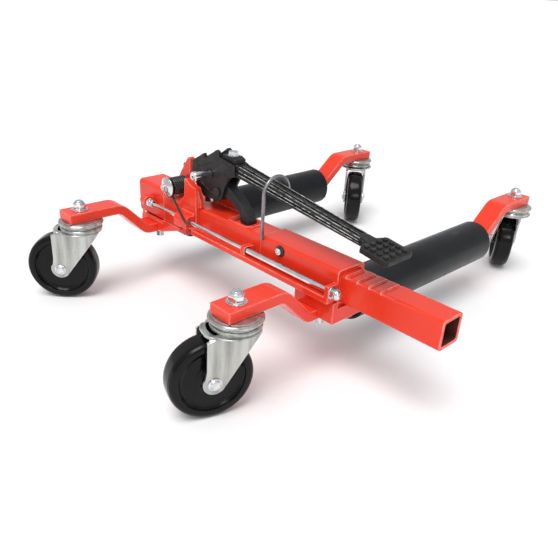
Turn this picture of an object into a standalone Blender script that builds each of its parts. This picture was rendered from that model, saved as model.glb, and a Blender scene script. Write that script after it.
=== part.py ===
"""Rolling vehicle dolly: two rollers on a telescoping ratchet beam, with four swivel casters.

X runs along the beam, Y along the rollers, Z is up from the floor.
All dimensions below are in millimetres and are turned into metres when a mesh is made.
"""
from math import atan2, cos, pi, radians, sin, tan

import bmesh
import bpy
from mathutils import Matrix, Vector

MM = 0.001
GAP = 0.3                      # air between pieces that touch

# The beam's own coordinates have X = 0 midway between the rollers and Y = 0 on the beam's axis.
# ORIGIN is the middle of the whole object in them, and becomes the origin of the finished part.
ORIGIN = Vector((58.13, 166.13, 0.0))

# Beam
BEAM_Z = 132.5                 # axis height of the three nested square tubes
HOUSING_HALF, HOUSING_BORE = 22.0, 19.35
SLEEVE_HALF, SLEEVE_BORE, COLLAR_BORE = 24.5, 22.3, 19.3
INNER_HALF, INNER_BORE = 19.0, 15.0
HOUSING_X = (-218.0, 100.0)
SLEEVE_X = (79.0, 220.0)
COLLAR_X = 104.0
INNER_X = (-195.0, 365.0)
TOOTH_PITCH, TOOTH_DEPTH, TOOTH_LENGTH, TOOTH_COUNT = 17.6, 2.6, 9.0, 20
TOOTH_END_X = 297.0

# Rollers and arms
ARM_X = 183.0                  # arms stand at +-ARM_X
ARM_WIDTH, ARM_THICK = 35.0, 14.0
PLATE_TOP = 143.0
BASE_TOP = 99.5
ROLLER_R, ROLLER_WALL, ROLLER_Z = 33.5, 3.0, 88.0
ROLLER_Y = (39.6, 367.4)
AXLE_R, AXLE_BORE = 8.0, 8.35
NEAR_TAB_Y, FAR_TAB_Y = 32.0, 375.0

# Casters
WHEEL_R, WHEEL_HALF, HUB_HALF = 52.5, 15.0, 17.1
TRAIL = 32.6
NEAR_STEM_Y, FAR_STEM_Y = -153.0, 491.0
STEM_R, STEM_BORE = 6.0, 6.35
SPINDLE_R, SPINDLE_BORE = 5.0, 5.35
CASTERS = {                    # name: (side of the beam, stem y, direction of the wheel from the stem)
    "nl": (-ARM_X, NEAR_STEM_Y, 228.0),
    "nr": (ARM_X, NEAR_STEM_Y, 252.0),
    "fl": (-ARM_X, FAR_STEM_Y, 312.0),
    "fr": (ARM_X, FAR_STEM_Y, 121.0),
}

# Foot lever
PIVOT_X, PIVOT_Z = -47.0, 209.0
PAWL_X, PAWL_Z = -30.0, 186.0
HEAD_HALF, PAWL_HALF = 13.0, 8.0
BAR_HALF = 10.5
BAR_TOP_AT_0, BAR_SLOPE = 234.5, 0.145
BAIL_X, BAIL_Z, BAIL_WIRE = 85.0, 215.5, 2.4

# Spring, guide rod
SPRING_X, SPRING_Z, COIL_R, COIL_WIRE = -126.0, 171.5, 12.0, 1.75
ROD_Y, ROD_Z, ROD_R, ROD_THICK_R = -36.0, 133.5, 3.0, 4.2

for old in list(bpy.data.objects):
    bpy.data.objects.remove(old, do_unlink=True)


def new_collection(name):
    coll = bpy.data.collections.new(name)
    bpy.context.scene.collection.children.link(coll)
    return coll


PARTS = new_collection("wheel_dolly")
CUTTERS = new_collection("cutters")
LOOKS = {}


def look(name, colour, rough, metal):
    mat = bpy.data.materials.new(name)
    mat.use_nodes = True
    bsdf = mat.node_tree.nodes["Principled BSDF"]
    bsdf.inputs["Base Color"].default_value = (*colour, 1.0)
    bsdf.inputs["Roughness"].default_value = rough
    bsdf.inputs["Metallic"].default_value = metal
    mat.diffuse_color = (*colour, 1.0)
    LOOKS[name] = mat


look("red_paint", (0.78, 0.045, 0.025), 0.3, 0.0)
look("black_paint", (0.022, 0.023, 0.026), 0.42, 0.0)
look("black_iron", (0.02, 0.02, 0.021), 0.55, 0.0)
look("zinc", (0.62, 0.62, 0.58), 0.33, 1.0)
look("chrome", (0.75, 0.75, 0.77), 0.12, 1.0)
look("black_wheel", (0.012, 0.012, 0.013), 0.25, 0.0)
look("spring_black", (0.012, 0.012, 0.014), 0.35, 0.0)


def place(name, bm, material, collection=None, origin=(0, 0, 0)):
    """Make an object from a bmesh in millimetres; its origin is put at the given point."""
    bmesh.ops.translate(bm, verts=bm.verts, vec=-Vector(origin))
    bmesh.ops.scale(bm, verts=bm.verts, vec=(MM, MM, MM))
    bmesh.ops.recalc_face_normals(bm, faces=bm.faces)
    mesh = bpy.data.meshes.new(name)
    bm.to_mesh(mesh)
    bm.free()
    obj = bpy.data.objects.new(name, mesh)
    obj.location = (Vector(origin) - ORIGIN) * MM
    (collection or PARTS).objects.link(obj)
    if material:
        mesh.materials.append(LOOKS[material])
    return obj


def loops_mesh(loops, closed=False):
    """Join rings of points in order. Closed makes a ring of them; otherwise both ends are capped."""
    bm = bmesh.new()
    rings = [[bm.verts.new(p) for p in ring] for ring in loops]
    count = len(rings[0])
    pairs = list(zip(rings, rings[1:])) + ([(rings[-1], rings[0])] if closed else [])
    for a, b in pairs:
        for i in range(count):
            j = (i + 1) % count
            bm.faces.new((a[i], a[j], b[j], b[i]))
    if not closed:
        bm.faces.new(rings[0])
        bm.faces.new(reversed(rings[-1]))
    return bm


def round_rect(half_y, half_z, radius, steps=2):
    """A rectangle with rounded corners in Y and Z, about the origin."""
    points = []
    for sy, sz, start in ((1, 1, 0), (-1, 1, 90), (-1, -1, 180), (1, -1, 270)):
        for k in range(steps + 1):
            a = radians(start + 90 * k / steps)
            points.append((sy * (half_y - radius) + radius * cos(a), sz * (half_z - radius) + radius * sin(a)))
    return points


def beam_ring(x, half, radius=4.0, z=BEAM_Z):
    return [(x, y, z + h) for y, h in round_rect(half, half, radius)]


def prism(outline, axis, low, high):
    """Extrude an outline along X, Y or Z."""
    def at(p, w):
        return {"x": (w, p[0], p[1]), "y": (p[0], w, p[1]), "z": (p[0], p[1], w)}[axis]
    return loops_mesh([[at(p, low) for p in outline], [at(p, high) for p in outline]])


def box(x, y, z):
    return prism([(x[0], y[0]), (x[1], y[0]), (x[1], y[1]), (x[0], y[1])], "z", z[0], z[1])


def circle(centre, radius, count, start=0.0, sweep=360.0):
    step = sweep / (count if sweep == 360.0 else count - 1)
    return [(centre[0] + radius * cos(radians(start + i * step)),
             centre[1] + radius * sin(radians(start + i * step))) for i in range(count)]


def rod_mesh(profile, centre, axis, count=24, closed=False, phase=0.0):
    """Turn a profile of (radius, height) round an axis through centre."""
    rings = []
    for radius, height in profile:
        ring = circle((0, 0), radius, count, phase)
        if axis == "x":
            rings.append([(height, centre[0] + a, centre[1] + b) for a, b in ring])
        elif axis == "y":
            rings.append([(centre[0] + a, height, centre[1] + b) for a, b in ring])
        else:
            rings.append([(centre[0] + a, centre[1] + b, height) for a, b in ring])
    return loops_mesh(rings, closed)


def boolean(obj, bm, operation):
    tool = place(obj.name + "_cutter", bm, None, CUTTERS)
    tool.display_type = "WIRE"
    tool.hide_render = True
    mod = obj.modifiers.new(operation.lower(), "BOOLEAN")
    mod.object = tool
    mod.operation = operation
    mod.solver = "EXACT"


def cut(obj, *tools):
    for bm in tools:
        boolean(obj, bm, "DIFFERENCE")


def join(obj, *tools):
    for bm in tools:
        boolean(obj, bm, "UNION")


def fillet_path(points, radii, steps=4):
    """Round the inner corners of a path of (y, z) points."""
    out = [Vector(points[0])]
    for k in range(1, len(points) - 1):
        a, b, c = Vector(points[k - 1]), Vector(points[k]), Vector(points[k + 1])
        u, v = (a - b).normalized(), (c - b).normalized()
        half = u.angle(v) / 2
        reach = radii[k - 1] / tan(half)
        centre = b + (u + v).normalized() * (radii[k - 1] / sin(half))
        start, end = b + u * reach - centre, b + v * reach - centre
        a0, a1 = atan2(start.y, start.x), atan2(end.y, end.x)
        turn = (a1 - a0 + pi) % (2 * pi) - pi
        for s in range(steps + 1):
            a = a0 + turn * s / steps
            out.append(centre + Vector((cos(a), sin(a))) * radii[k - 1])
    out.append(Vector(points[-1]))
    return out


def thicken(path, thick):
    """Turn a centreline into the outline of a bar."""
    left, right = [], []
    for k, p in enumerate(path):
        a = path[max(k - 1, 0)]
        c = path[min(k + 1, len(path) - 1)]
        t = (c - a).normalized()
        n = Vector((-t.y, t.x))
        left.append(tuple(p + n * thick / 2))
        right.append(tuple(p - n * thick / 2))
    return left + right[::-1]


# ---------------------------------------------------------------- beam
def make_beam():
    outer_l, outer_r = beam_ring(HOUSING_X[0], HOUSING_HALF), beam_ring(HOUSING_X[1], HOUSING_HALF)
    inner_r, inner_l = beam_ring(HOUSING_X[1], HOUSING_BORE, 2), beam_ring(HOUSING_X[0], HOUSING_BORE, 2)
    housing = place("housing_tube", loops_mesh([outer_l, outer_r, inner_r, inner_l], True), "red_paint")
    slot = [(2, -11), (6, -15), (38, -15), (44, -9), (44, 7), (40, 11), (2, 11)]
    cut(housing, prism(slot, "z", 150, 165))

    sleeve = place("sleeve_tube", loops_mesh([
        beam_ring(SLEEVE_X[0], SLEEVE_HALF), beam_ring(SLEEVE_X[1], SLEEVE_HALF),
        beam_ring(SLEEVE_X[1], COLLAR_BORE, 4), beam_ring(COLLAR_X, COLLAR_BORE, 4),
        beam_ring(COLLAR_X, SLEEVE_BORE, 4), beam_ring(SLEEVE_X[0], SLEEVE_BORE, 4)], True), "red_paint")
    cut(sleeve, rod_mesh([(4.3, -26), (4.3, -20)], (118, 150 - 2), "y", 16))

    inner = place("inner_tube", loops_mesh([
        beam_ring(INNER_X[0], INNER_HALF), beam_ring(INNER_X[1], INNER_HALF),
        beam_ring(INNER_X[1], INNER_BORE, 2), beam_ring(INNER_X[0], INNER_BORE, 2)], True), "red_paint")
    top = BEAM_Z + INNER_HALF
    teeth = None
    for i in range(TOOTH_COUNT):
        x0 = TOOTH_END_X - TOOTH_PITCH * (i + 1)
        notch = [(x0, top - TOOTH_DEPTH), (x0 + TOOTH_LENGTH, top + 0.2), (x0 + TOOTH_LENGTH, top + 1), (x0, top + 1)]
        bm = prism(notch, "y", -INNER_HALF - 1, INNER_HALF + 1)
        if teeth is None:
            teeth = bm
        else:
            verts = [teeth.verts.new(v.co) for v in bm.verts]
            bm.verts.index_update()
            for f in bm.faces:
                teeth.faces.new([verts[v.index] for v in f.verts])
            bm.free()
    cut(inner, teeth)

    screw = place("sleeve_screw", rod_mesh([(9.0, -24.8), (9.0, -26.3), (6.6, -26.3), (6.6, -29.2), (5.4, -30.0)],
                                           (118, 148), "y", 14), "zinc")
    join(screw, rod_mesh([(4.0, -26), (4.0, -20.5)], (118, 148), "y", 16))


def make_left_frame():
    x0, x1 = -222.0, -150.0

    def ring(x, hy, hz, r):
        return [(x, y, BEAM_Z + z) for y, z in round_rect(hy, hz, r)]
    end_box = place("end_box", loops_mesh([
        ring(-219.0 + GAP, 22.3, 22.3, 4), ring(x1, 22.3, 22.3, 4), ring(x1, 26, 28, 5), ring(x0, 26, 28, 5)]),
        "red_paint")
    join(end_box, box((-197, -179), (-41, -25), (125, 142)))

    foot = [(-212, 92), (-207, 87), (-154, 88), (-140, 92.5), (-104, 105.5), (-104, 110.1), (-149.6, 110.1),
            (-149.6, 104.2), (-212, 104.2)]
    socket = place("left_socket", prism(foot, "y", -30, 24), "red_paint")
    cut(socket, box((-ARM_X - 17.8, -ARM_X + 17.8), (-40, 40), (80, BASE_TOP + GAP)))

    fin = [(-147.5, 110.6), (-104, 110.6), (-94, 121), (-62, 121), (-61, 178), (-63, 185), (-71, 185.4), (-80, 189.5),
           (-87, 194), (-90.5, 193), (-90.5, 181), (-92, 165), (-104.5, 151.5), (-147.5, 151.5)]
    bracket = place("fin_bracket", prism(fin, "y", -28.0, -22.3), "red_paint")
    rib = [(-99, 154.8), (-55, 154.8), (-57, 168), (-61, 178), (-63, 185), (-71, 185.4), (-80, 189.5), (-87, 194),
           (-90.5, 193), (-90.5, 181), (-92, 165)]
    join(bracket, prism(rib, "y", -24.0, -17.0))

    tall = [(-150, 154.8), (-117, 154.8), (-117, 213), (-122.5, 214), (-144, 184), (-150, 172)]
    tall_ear = place("tall_bracket", prism(tall, "y", 2.3, 12.3), "red_paint")
    cut(tall_ear, rod_mesh([(5.3, 0), (5.3, 15)], (SPRING_X, SPRING_Z), "y", 20))

    far = [(-86, 154.8), (-10, 154.8), (-20, 172)] + circle((PIVOT_X, PIVOT_Z), 14, 11, -10, 200) + [(-78, 172)]
    far_ear = place("far_bracket", prism(far, "y", 15.5, 21.8), "red_paint")
    cut(far_ear, rod_mesh([(5.3, 10), (5.3, 30)], (PIVOT_X, PIVOT_Z), "y", 20))

    place("lever_pin", rod_mesh([(5.8, -43.4), (7.0, -42.4), (7.0, -38.6), (6.2, -37.8), (6.2, -13.6), (5.0, -13.6), (5.0, 22.1),
                                 (8.2, 22.1), (8.2, 23.8), (5.0, 23.8), (5.0, 25.0), (4.2, 25.8)],
                                (PIVOT_X, PIVOT_Z), "y", 16), "chrome")

    lug = [(-44, 123.5), (-28.3, 123.5), (-28.3, 142.5)] + circle((ROD_Y, ROD_Z), 8.6, 7, 70, 130)
    lug_obj = place("guide_lug", prism(lug, "x", -97, -66), "red_paint")
    cut(lug_obj, rod_mesh([(ROD_R + 0.35, -100), (ROD_R + 0.35, -60)], (ROD_Y, ROD_Z), "x", 20))


def make_lever():
    head_outline = [(-88, 220), (-61.5, 233.7), (-57, 229.5), (-52.5, 232), (-45.4, 237.3), (-31, 243.6),
                    (-26, 236.5), (-12, 235.7), (8, 232.8), (8, 217), (-4, 213), (-14, 196), (-20, 178),
                    (-26, 173), (-40, 173), (-70, 184), (-82, 196), (-90, 208)]
    head = place("lever_head", prism(head_outline, "y", -HEAD_HALF, HEAD_HALF), "black_iron",
                 origin=(PIVOT_X, 0, PIVOT_Z))
    join(head, prism([(-63, 161.5), (-33, 169.5), (-33, 190), (-63, 188)], "y", -10, 10))
    slot = [(-42, 155), (-42, 199), (-30, 200.5), (-8, 212), (4, 215), (20, 215), (20, 155)]
    cut(head, prism(slot, "y", -PAWL_HALF - 0.4, PAWL_HALF + 0.4),
        rod_mesh([(5.35, -20), (5.35, 20)], (PIVOT_X, PIVOT_Z), "y", 24),
        rod_mesh([(4.35, -20), (4.35, 20)], (PAWL_X, PAWL_Z), "y", 20))

    clamp = [(-24, 237.0), (-12, 236.1), (6, 233.4), (6, 239), (-1, 242), (-24, 242)]
    place("clamp_block", prism(clamp, "y", -9, 9), "black_iron")
    place("clamp_bolt", rod_mesh([(7.5, 242.3), (7.5, 243.4), (6.4, 243.4), (6.4, 247.4), (5.4, 248.4)],
                                 (-10, 0), "z", 6), "zinc")
    place("dog_screw", rod_mesh([(3.4, -10.3), (3.4, -12.0), (2.6, -12.8)], (-45, 169.8), "y", 16), "zinc")

    def top(x):
        return BAR_TOP_AT_0 - BAR_SLOPE * x
    bar_outline = [(8.3, top(8.3)), (240, top(240)), (240, 191.2), (8.3, 217.4)]
    bar = place("lever_bar", prism(bar_outline, "y", -BAR_HALF, BAR_HALF), "black_iron")
    for side in (-1, 1):
        groove = [(16, top(16) - 2.4), (232, top(232) - 2.4), (232, top(232) + 4), (16, top(16) + 4)]
        ys = sorted((side * 2.2, side * 7.4))
        cut(bar, prism(groove, "y", *ys))
        flank = [(20, top(20) - 5.5), (226, top(226) - 3.6), (226, top(226) - 6.6), (20, top(20) - 12)]
        ys = sorted((side * (BAR_HALF - 2.6), side * (BAR_HALF + 3)))
        cut(bar, prism(flank, "y", *ys))
    cut(bar, rod_mesh([(BAIL_WIRE + 0.35, 3), (BAIL_WIRE + 0.35, 20)], (BAIL_X, BAIL_Z), "y", 14))

    pad_plan = [(1.4, -10.5), (7, -25.5), (44, -25.5), (47, -22.5), (47, 22.5), (44, 25.5), (7, 25.5), (1.4, 10.5)]
    pad_bm = prism(pad_plan, "z", -7.0, 0.0)
    pad = place("pedal_pad", pad_bm, "black_iron")
    studs = bmesh.new()
    for i in range(4):
        for j in range(4):
            bm = rod_mesh([(2.9, -1.5), (2.4, 1.7)], (10.5 + 9.6 * i, -17.4 + 11.6 * j), "z", 6)
            verts = [studs.verts.new(v.co) for v in bm.verts]
            bm.verts.index_update()
            for f in bm.faces:
                studs.faces.new([verts[v.index] for v in f.verts])
            bm.free()
    join(pad, studs)
    pad.location = (Vector((240, 0, top(240))) - ORIGIN) * MM
    pad.rotation_euler = (0, atan2(BAR_SLOPE, 1), 0)
    tool = bpy.data.objects["pedal_pad_cutter"]
    tool.location, tool.rotation_euler = pad.location, pad.rotation_euler

    pawl_outline = (circle((PAWL_X, PAWL_Z), 9, 9, 265, -180) +
                    [(-22, 200.5), (-18.5, 201.3), (-8, 195), (8, 184.6), (25, 172.8), (31, 166), (33.5, 158),
                     (33.5, 152.8), (17, 152.8), (16.8, 160), (14.8, 164.8), (6.8, 171), (-7.8, 178), (-20, 180)])
    pawl = place("drive_pawl", prism(pawl_outline, "y", -PAWL_HALF, PAWL_HALF), "black_paint",
                 origin=(PAWL_X, 0, PAWL_Z))
    cut(pawl, rod_mesh([(4.35, -20), (4.35, 20)], (PAWL_X, PAWL_Z), "y", 20))
    pin = [(6.2, -16.0), (6.2, -13.3), (4.0, -13.3), (4.0, 13.3), (5.6, 13.3), (5.6, 15.0)]
    place("pawl_pin", rod_mesh(pin, (PAWL_X, PAWL_Z), "y", 20), "zinc")


def curve_object(name, points, radius, material, resolution=2):
    curve = bpy.data.curves.new(name, "CURVE")
    curve.dimensions = "3D"
    spline = curve.splines.new("POLY")
    spline.points.add(len(points) - 1)
    for point, co in zip(spline.points, points):
        point.co = (*(c * MM for c in co), 1.0)
    curve.bevel_depth = radius * MM
    curve.bevel_resolution = resolution
    curve.use_fill_caps = True
    curve.materials.append(LOOKS[material])
    obj = bpy.data.objects.new(name, curve)
    obj.location = -ORIGIN * MM
    PARTS.objects.link(obj)
    return obj


def make_wires():
    centre_y, centre_z, bend = -5.0, 214.5, 22.4
    points = [(BAIL_X, centre_y - bend, z) for z in (153.5, 175, 196)]
    for k in range(10):
        a = radians(180 - 18 * k)
        points.append((BAIL_X, centre_y + bend * cos(a), centre_z + bend * sin(a)))
    points += [(BAIL_X, 16.7, 217.0), (BAIL_X, 15.0, BAIL_Z), (BAIL_X, 12, BAIL_Z), (BAIL_X, 4.0, BAIL_Z)]
    curve_object("bail_wire", points, BAIL_WIRE, "zinc", 2)

    turns, per_turn, pitch = 7, 8, 3.9
    points = []
    for k in range(turns * per_turn + 1):
        a = radians(-60 + 360 * k / per_turn)
        points.append((SPRING_X + COIL_R * cos(a), -0.6 - COIL_WIRE - pitch * k / per_turn, SPRING_Z + COIL_R * sin(a)))
    points += [(-117.2, -31.5, 157.4), (-64, -46.6, 136.8), (-59.5, -45.2, 135.3), (-57.6, -42.0, 134.6)]
    curve_object("torsion_spring", points, COIL_WIRE, "spring_black", 1)
    place("spring_bolt", rod_mesh([(4.4, -42.2), (5.6, -41.4), (5.6, -39.6), (8.5, -38.8), (12.0, -37.2),
                                   (15.2, -35.0), (15.2, -33.8), (5.0, -33.4), (5.0, 10.5)],
                                  (SPRING_X, SPRING_Z), "y", 16), "chrome")


def make_carriage_side():
    foot = [(-34, 88), (24, 88), (24, 107.6), (-24.9, 107.6), (-24.9, 117.9), (-34, 117.9)]
    socket = place("right_socket", prism(foot, "x", 158, 225), "red_paint")
    cut(socket, box((ARM_X - 17.8, ARM_X + 17.8), (-40, 40), (80, BASE_TOP + GAP)))

    rail = place("side_rail", box((-54, 222), (-43, -35), (118.5, 126.5)), "red_paint")
    web = [(36, -36), (66, -24.8), (222, -24.8), (222, -36)]
    join(rail, prism(web, "z", 118.5, 124.0), box((215.5, 222), (-43, -24.8), (120, 142)))
    cut(rail, rod_mesh([(ROD_THICK_R + 0.35, 200), (ROD_THICK_R + 0.35, 230)], (ROD_Y, ROD_Z), "x", 20))

    place("guide_rod", rod_mesh([(ROD_R, -177.5), (ROD_R, 62), (ROD_THICK_R, 63.5), (ROD_THICK_R, 236)],
                                (ROD_Y, ROD_Z), "x", 20), "chrome")
    place("rod_nut_left", rod_mesh([(ROD_R + GAP, -176.5), (6.4, -176.5), (6.4, -168.5), (5.2, -168.0),
                                    (5.2, -163.5), (ROD_R + GAP, -163.5)], (ROD_Y, ROD_Z), "x", 18, True), "chrome")
    place("rod_nut_right", rod_mesh([(ROD_THICK_R + GAP, 222.3), (8.0, 222.3), (8.0, 230.5), (6.6, 232.6),
                                     (ROD_THICK_R + GAP, 233.0)], (ROD_Y, ROD_Z), "x", 18, True), "chrome")


def make_arms():
    near = fillet_path([(-177, PLATE_TOP - 7), (-92, PLATE_TOP - 7), (-49, BASE_TOP - 7), (NEAR_TAB_Y, BASE_TOP - 7),
                        (NEAR_TAB_Y, 64)], (22, 16, 8.0))
    far = fillet_path([(FAR_TAB_Y, 64), (FAR_TAB_Y, 91), (431, PLATE_TOP - 7), (515, PLATE_TOP - 7)], (16, 22))
    for side, x in (("left", -ARM_X), ("right", ARM_X)):
        for row, path, stem in (("near", near, NEAR_STEM_Y), ("far", far, FAR_STEM_Y)):
            arm = place("%s_%s_arm" % (row, side),
                        prism(thicken(path, ARM_THICK), "x", x - ARM_WIDTH / 2, x + ARM_WIDTH / 2), "red_paint")
            cut(arm, rod_mesh([(STEM_BORE, 120), (STEM_BORE, 150)], (x, stem), "z", 14),
                rod_mesh([(AXLE_BORE, 20), (AXLE_BORE, 400)], (x, ROLLER_Z), "y", 20))
            if row == "near":
                for k, dx in enumerate((-9.5, 9.5)):
                    cut(arm, rod_mesh([(4.35, 80), (4.35, 96)], (x + dx, -20), "z", 10))
                    bolt = place("%s_arm_bolt_%d" % (side, k + 1),
                                 rod_mesh([(6.2, 74.6), (7.0, 75.4), (7.0, 85.2)], (x + dx, -20), "z", 6), "zinc")
                    join(bolt, rod_mesh([(4.0, 84), (4.0, 95)], (x + dx, -20), "z", 10))
        y0, y1 = ROLLER_Y
        r, w = ROLLER_R, ROLLER_WALL
        place("%s_roller" % side, rod_mesh([
            (AXLE_BORE, y0), (r - 2, y0), (r, y0 + 2), (r, y1 - 2), (r - 2, y1), (AXLE_BORE, y1), (AXLE_BORE, y1 - 5), (r - w, y1 - 5), (r - w, y0 + 5), (AXLE_BORE, y0 + 5)],
            (x, ROLLER_Z), "y", 28, True), "black_paint", origin=(x, 0, ROLLER_Z))
        place("%s_axle" % side, rod_mesh([(AXLE_R, 25.4), (AXLE_R, 380.5), (AXLE_R - 1, 381.5)],
                                         (x, ROLLER_Z), "y", 20), "zinc")


def make_caster(tag, x, stem_y, direction):
    """One swivel caster, built along +X with its stem on the Z axis, then turned and moved."""
    turn = Matrix.Translation((x, stem_y, 0)) @ Matrix.Rotation(radians(direction), 4, "Z")

    def put(name, bm, material, *tools, subtract=()):
        bmesh.ops.transform(bm, matrix=turn, verts=bm.verts)
        obj = place("%s_%s" % (name, tag), bm, material)
        for tool in tools:
            bmesh.ops.transform(tool, matrix=turn, verts=tool.verts)
            join(obj, tool)
        for tool in subtract:
            bmesh.ops.transform(tool, matrix=turn, verts=tool.verts)
            cut(obj, tool)
        return obj

    put("race_cup", rod_mesh([(STEM_BORE, 128.7), (30.5, 128.7), (33, 126.4), (33, 123.6), (30.5, 121.6),
                              (STEM_BORE, 121.6)], (0, 0), "z", 20, True), "zinc")
    ring = rod_mesh([(28.0, 112.5), (30.4, 116.0), (30.0, 119.6), (27.5, 121.3)], (0, 0), "z", 20)
    plan = [(p[0] + 7, p[1]) for p in round_rect(34, 21.2, 14)]
    leg = [(38, 113.5), (-24, 113.5), (-25.5, 108), (21.0, 45.0)]
    leg += circle((TRAIL, WHEEL_R), 13.4, 7, -149, 149)[1:] + [(43.5, 58), (41.5, 74), (41, 112)]
    legs = [prism(leg, "y", lo, hi) for lo, hi in ((17.6, 20.6), (-20.6, -17.6))]
    put("fork", prism(plan, "z", 110.4, 114.0), "zinc", ring, *legs, subtract=(
        rod_mesh([(STEM_BORE, 100), (STEM_BORE, 130)], (0, 0), "z", 14),
        rod_mesh([(SPINDLE_BORE, -30), (SPINDLE_BORE, 30)], (TRAIL, WHEEL_R), "y", 12)))
    half = [(SPINDLE_BORE, HUB_HALF), (11.5, HUB_HALF), (15, 9.2), (37, 8.6), (41, WHEEL_HALF),
            (49, WHEEL_HALF), (WHEEL_R, 8)]
    put("wheel", rod_mesh(half + [(r, -h) for r, h in half[::-1]], (TRAIL, WHEEL_R), "y", 28, True), "black_wheel")
    put("spindle", rod_mesh([(6.0, -24.6), (8.2, -23.2), (8.2, -20.9), (SPINDLE_R, -20.9), (SPINDLE_R, 20.9),
                             (8.0, 20.9), (8.0, 25.0)], (TRAIL, WHEEL_R), "y", 12), "zinc")
    nut = rod_mesh([(9.6, 145.4), (9.6, 153.6), (8.4, 154.6)], (0, 0), "z", 6)
    head = rod_mesh([(9.6, 104.2), (9.6, 110.1)], (0, 0), "z", 6)
    put("stem_bolt", rod_mesh([(STEM_R, 105), (STEM_R, 143.3), (12.0, 143.3), (12.0, 145.6), (STEM_R, 145.6),
                               (STEM_R, 156.4), (5.2, 157.4)], (0, 0), "z", 14), "zinc", nut, head)


make_beam()
make_left_frame()
make_lever()
make_wires()
make_carriage_side()
make_arms()
for tag, (x, stem_y, direction) in CASTERS.items():
    make_caster(tag, x, stem_y, direction)
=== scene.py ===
"""Looks of the rolling vehicle dolly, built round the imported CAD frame.

Shapes are given in the beam's own millimetres: X = 0 midway between the rollers, Y = 0 on the beam's
axis, Z = 0 on the floor. raw() and wire() turn them into the frame's metres.
"""
from math import atan2, cos, pi, radians, sin, tan

import bmesh
import bpy
from mathutils import Matrix, Vector


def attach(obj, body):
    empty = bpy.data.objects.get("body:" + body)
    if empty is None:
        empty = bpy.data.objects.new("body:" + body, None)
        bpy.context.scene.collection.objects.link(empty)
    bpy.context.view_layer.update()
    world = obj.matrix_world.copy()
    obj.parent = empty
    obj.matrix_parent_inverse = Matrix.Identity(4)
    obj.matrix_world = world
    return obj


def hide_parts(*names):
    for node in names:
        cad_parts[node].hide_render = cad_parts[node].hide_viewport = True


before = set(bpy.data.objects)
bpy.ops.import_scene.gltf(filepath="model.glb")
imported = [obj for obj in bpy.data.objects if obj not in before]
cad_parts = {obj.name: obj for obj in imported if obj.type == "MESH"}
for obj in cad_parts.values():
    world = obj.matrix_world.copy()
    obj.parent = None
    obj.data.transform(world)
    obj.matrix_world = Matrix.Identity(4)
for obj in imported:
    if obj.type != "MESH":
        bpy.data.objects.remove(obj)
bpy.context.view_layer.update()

MM = 0.001
ORIGIN = Vector((58.13, 166.13, 0.0))   # middle of the whole object, in beam millimetres

BEAM_Z = 132.5                              # axis height of the three nested square tubes
HOUSING, SLEEVE, INNER = 22.0, 24.5, 19.0   # their half widths
HOUSING_X, SLEEVE_X, INNER_X = (-218, 100), (79, 220), (-195, 365)
SLEEVE_SCREW = (118, 148)                   # (x, z) on the sleeve's near wall
TOOTH_COUNT, TOOTH_PITCH, TOOTH_LENGTH, TOOTH_DEPTH, TOOTH_END_X = 20, 17.6, 9, 2.6, 297.0
ARM_X, ARM_WIDTH, ARM_THICK = 183.0, 35.0, 14.0
ARM_BOLT_DX, ARM_BOLT_Y = 9.5, -20
SOCKET_HALF = 17.8                          # half width of the channel that an arm lies in
PLATE_TOP, BASE_TOP = 143.0, 99.5           # top of an arm at its caster and under the beam
ROLLER_R, ROLLER_Z, ROLLER_Y = 33.5, 88.0, (39.6, 367.4)
NEAR_TAB_Y, FAR_TAB_Y = 32.0, 375.0
WHEEL_R, TRAIL = 52.5, 32.6
NEAR_STEM_Y, FAR_STEM_Y = -153.0, 491.0
# each caster's stem (x, y) and the heading of its wheel in degrees
CASTERS = {"nl": (-ARM_X, NEAR_STEM_Y, 228.0), "nr": (ARM_X, NEAR_STEM_Y, 252.0),
           "fl": (-ARM_X, FAR_STEM_Y, 312.0), "fr": (ARM_X, FAR_STEM_Y, 121.0)}
PIVOT, PAWL_AXIS = (-47.0, 209.0), (-30.0, 186.0)   # (x, z) of the lever's and the pawl's pins
BAR_TOP_AT_0, BAR_SLOPE = 234.5, 0.145
BAR_X, BAR_LOW = (8.3, 240), (217.4, 191.2)          # the bar's ends, and its underside there
BAIL_X, BAIL_Z = 85.0, 215.5
COIL_AXIS, COIL_R, COIL_WIRE = (-126.0, 171.5), 12.0, 1.75
ROD_AXIS = (-36.0, 133.5)                   # (y, z)
SHARP_ANGLE = 44.0


# ---------------------------------------------------------------- camera, light, floor
def set_camera():
    az, el, roll = radians(45.176), radians(27.988), radians(3.358)
    target, distance = Vector((0.06313, -0.19367, 0.080)), 0.815378
    back = Vector((sin(az) * cos(el), -cos(az) * cos(el), sin(el)))
    right = (-back).cross(Vector((0, 0, 1))).normalized()
    up = right.cross(-back)
    side = right * cos(roll) + up * sin(roll)
    top = up * cos(roll) - right * sin(roll)
    data = bpy.data.cameras.new("camera")
    data.sensor_width = 36.0
    data.lens = 38.709
    data.shift_x, data.shift_y = 0.002676, 0.03464
    data.clip_end = 200.0
    cam = bpy.data.objects.new("camera", data)
    cam.matrix_world = Matrix.Translation(target + back * distance) @ Matrix((side, top, back)).transposed().to_4x4()
    bpy.context.scene.collection.objects.link(cam)
    bpy.context.scene.camera = cam


def aim(kind, name, spot, energy, **props):
    """A light at spot, pointed at the middle of the object."""
    data = bpy.data.lights.new(name, kind)
    data.energy = energy
    for key, value in props.items():
        setattr(data, key, value)
    obj = bpy.data.objects.new(name, data)
    obj.location = spot
    obj.rotation_euler = (-Vector(spot)).to_track_quat("-Z", "Y").to_euler()
    bpy.context.scene.collection.objects.link(obj)


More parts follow.
